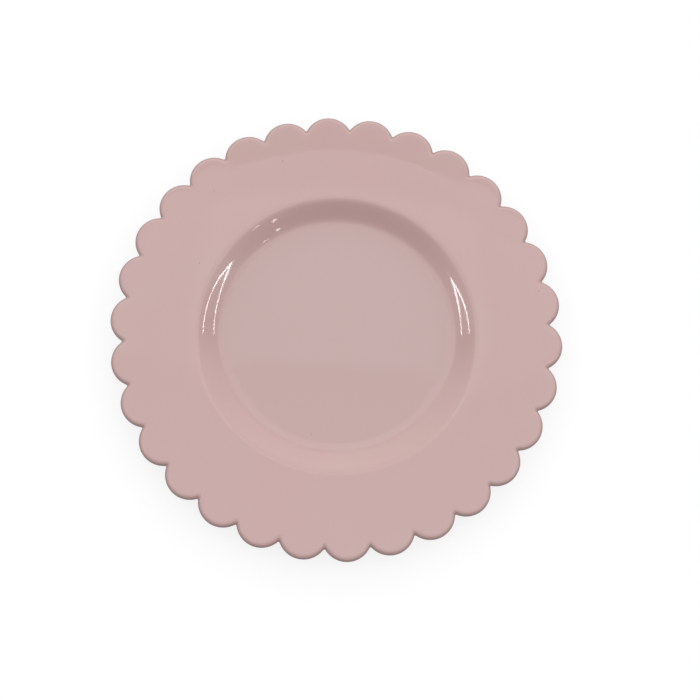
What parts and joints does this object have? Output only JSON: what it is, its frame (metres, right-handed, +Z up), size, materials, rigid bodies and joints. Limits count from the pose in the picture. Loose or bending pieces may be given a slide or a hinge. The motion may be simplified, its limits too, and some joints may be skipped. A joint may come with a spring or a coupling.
{
  "type": "scalloped dessert plate",
  "caption": "Round dessert plate with a scalloped rim, a shallow well and a foot ring, in fired clay under a glossy dusty-pink glaze.",
  "frame": {"origin": "middle of the foot ring's bottom face, on the plate's axis", "axes": "+Z up along the plate's axis, +X through the middle of one scallop"},
  "size_m": [0.21, 0.209, 0.016],
  "materials": {
    "bare_clay": "bare fired clay, matt and slightly grainy",
    "pink_glaze": "smooth glossy glaze, dusty pink"
  },
  "bodies": {
    "root": {"clay_body": "bare_clay", "glaze_coat": "pink_glaze", "glaze_base": "pink_glaze"}
  },
  "joints": []
}
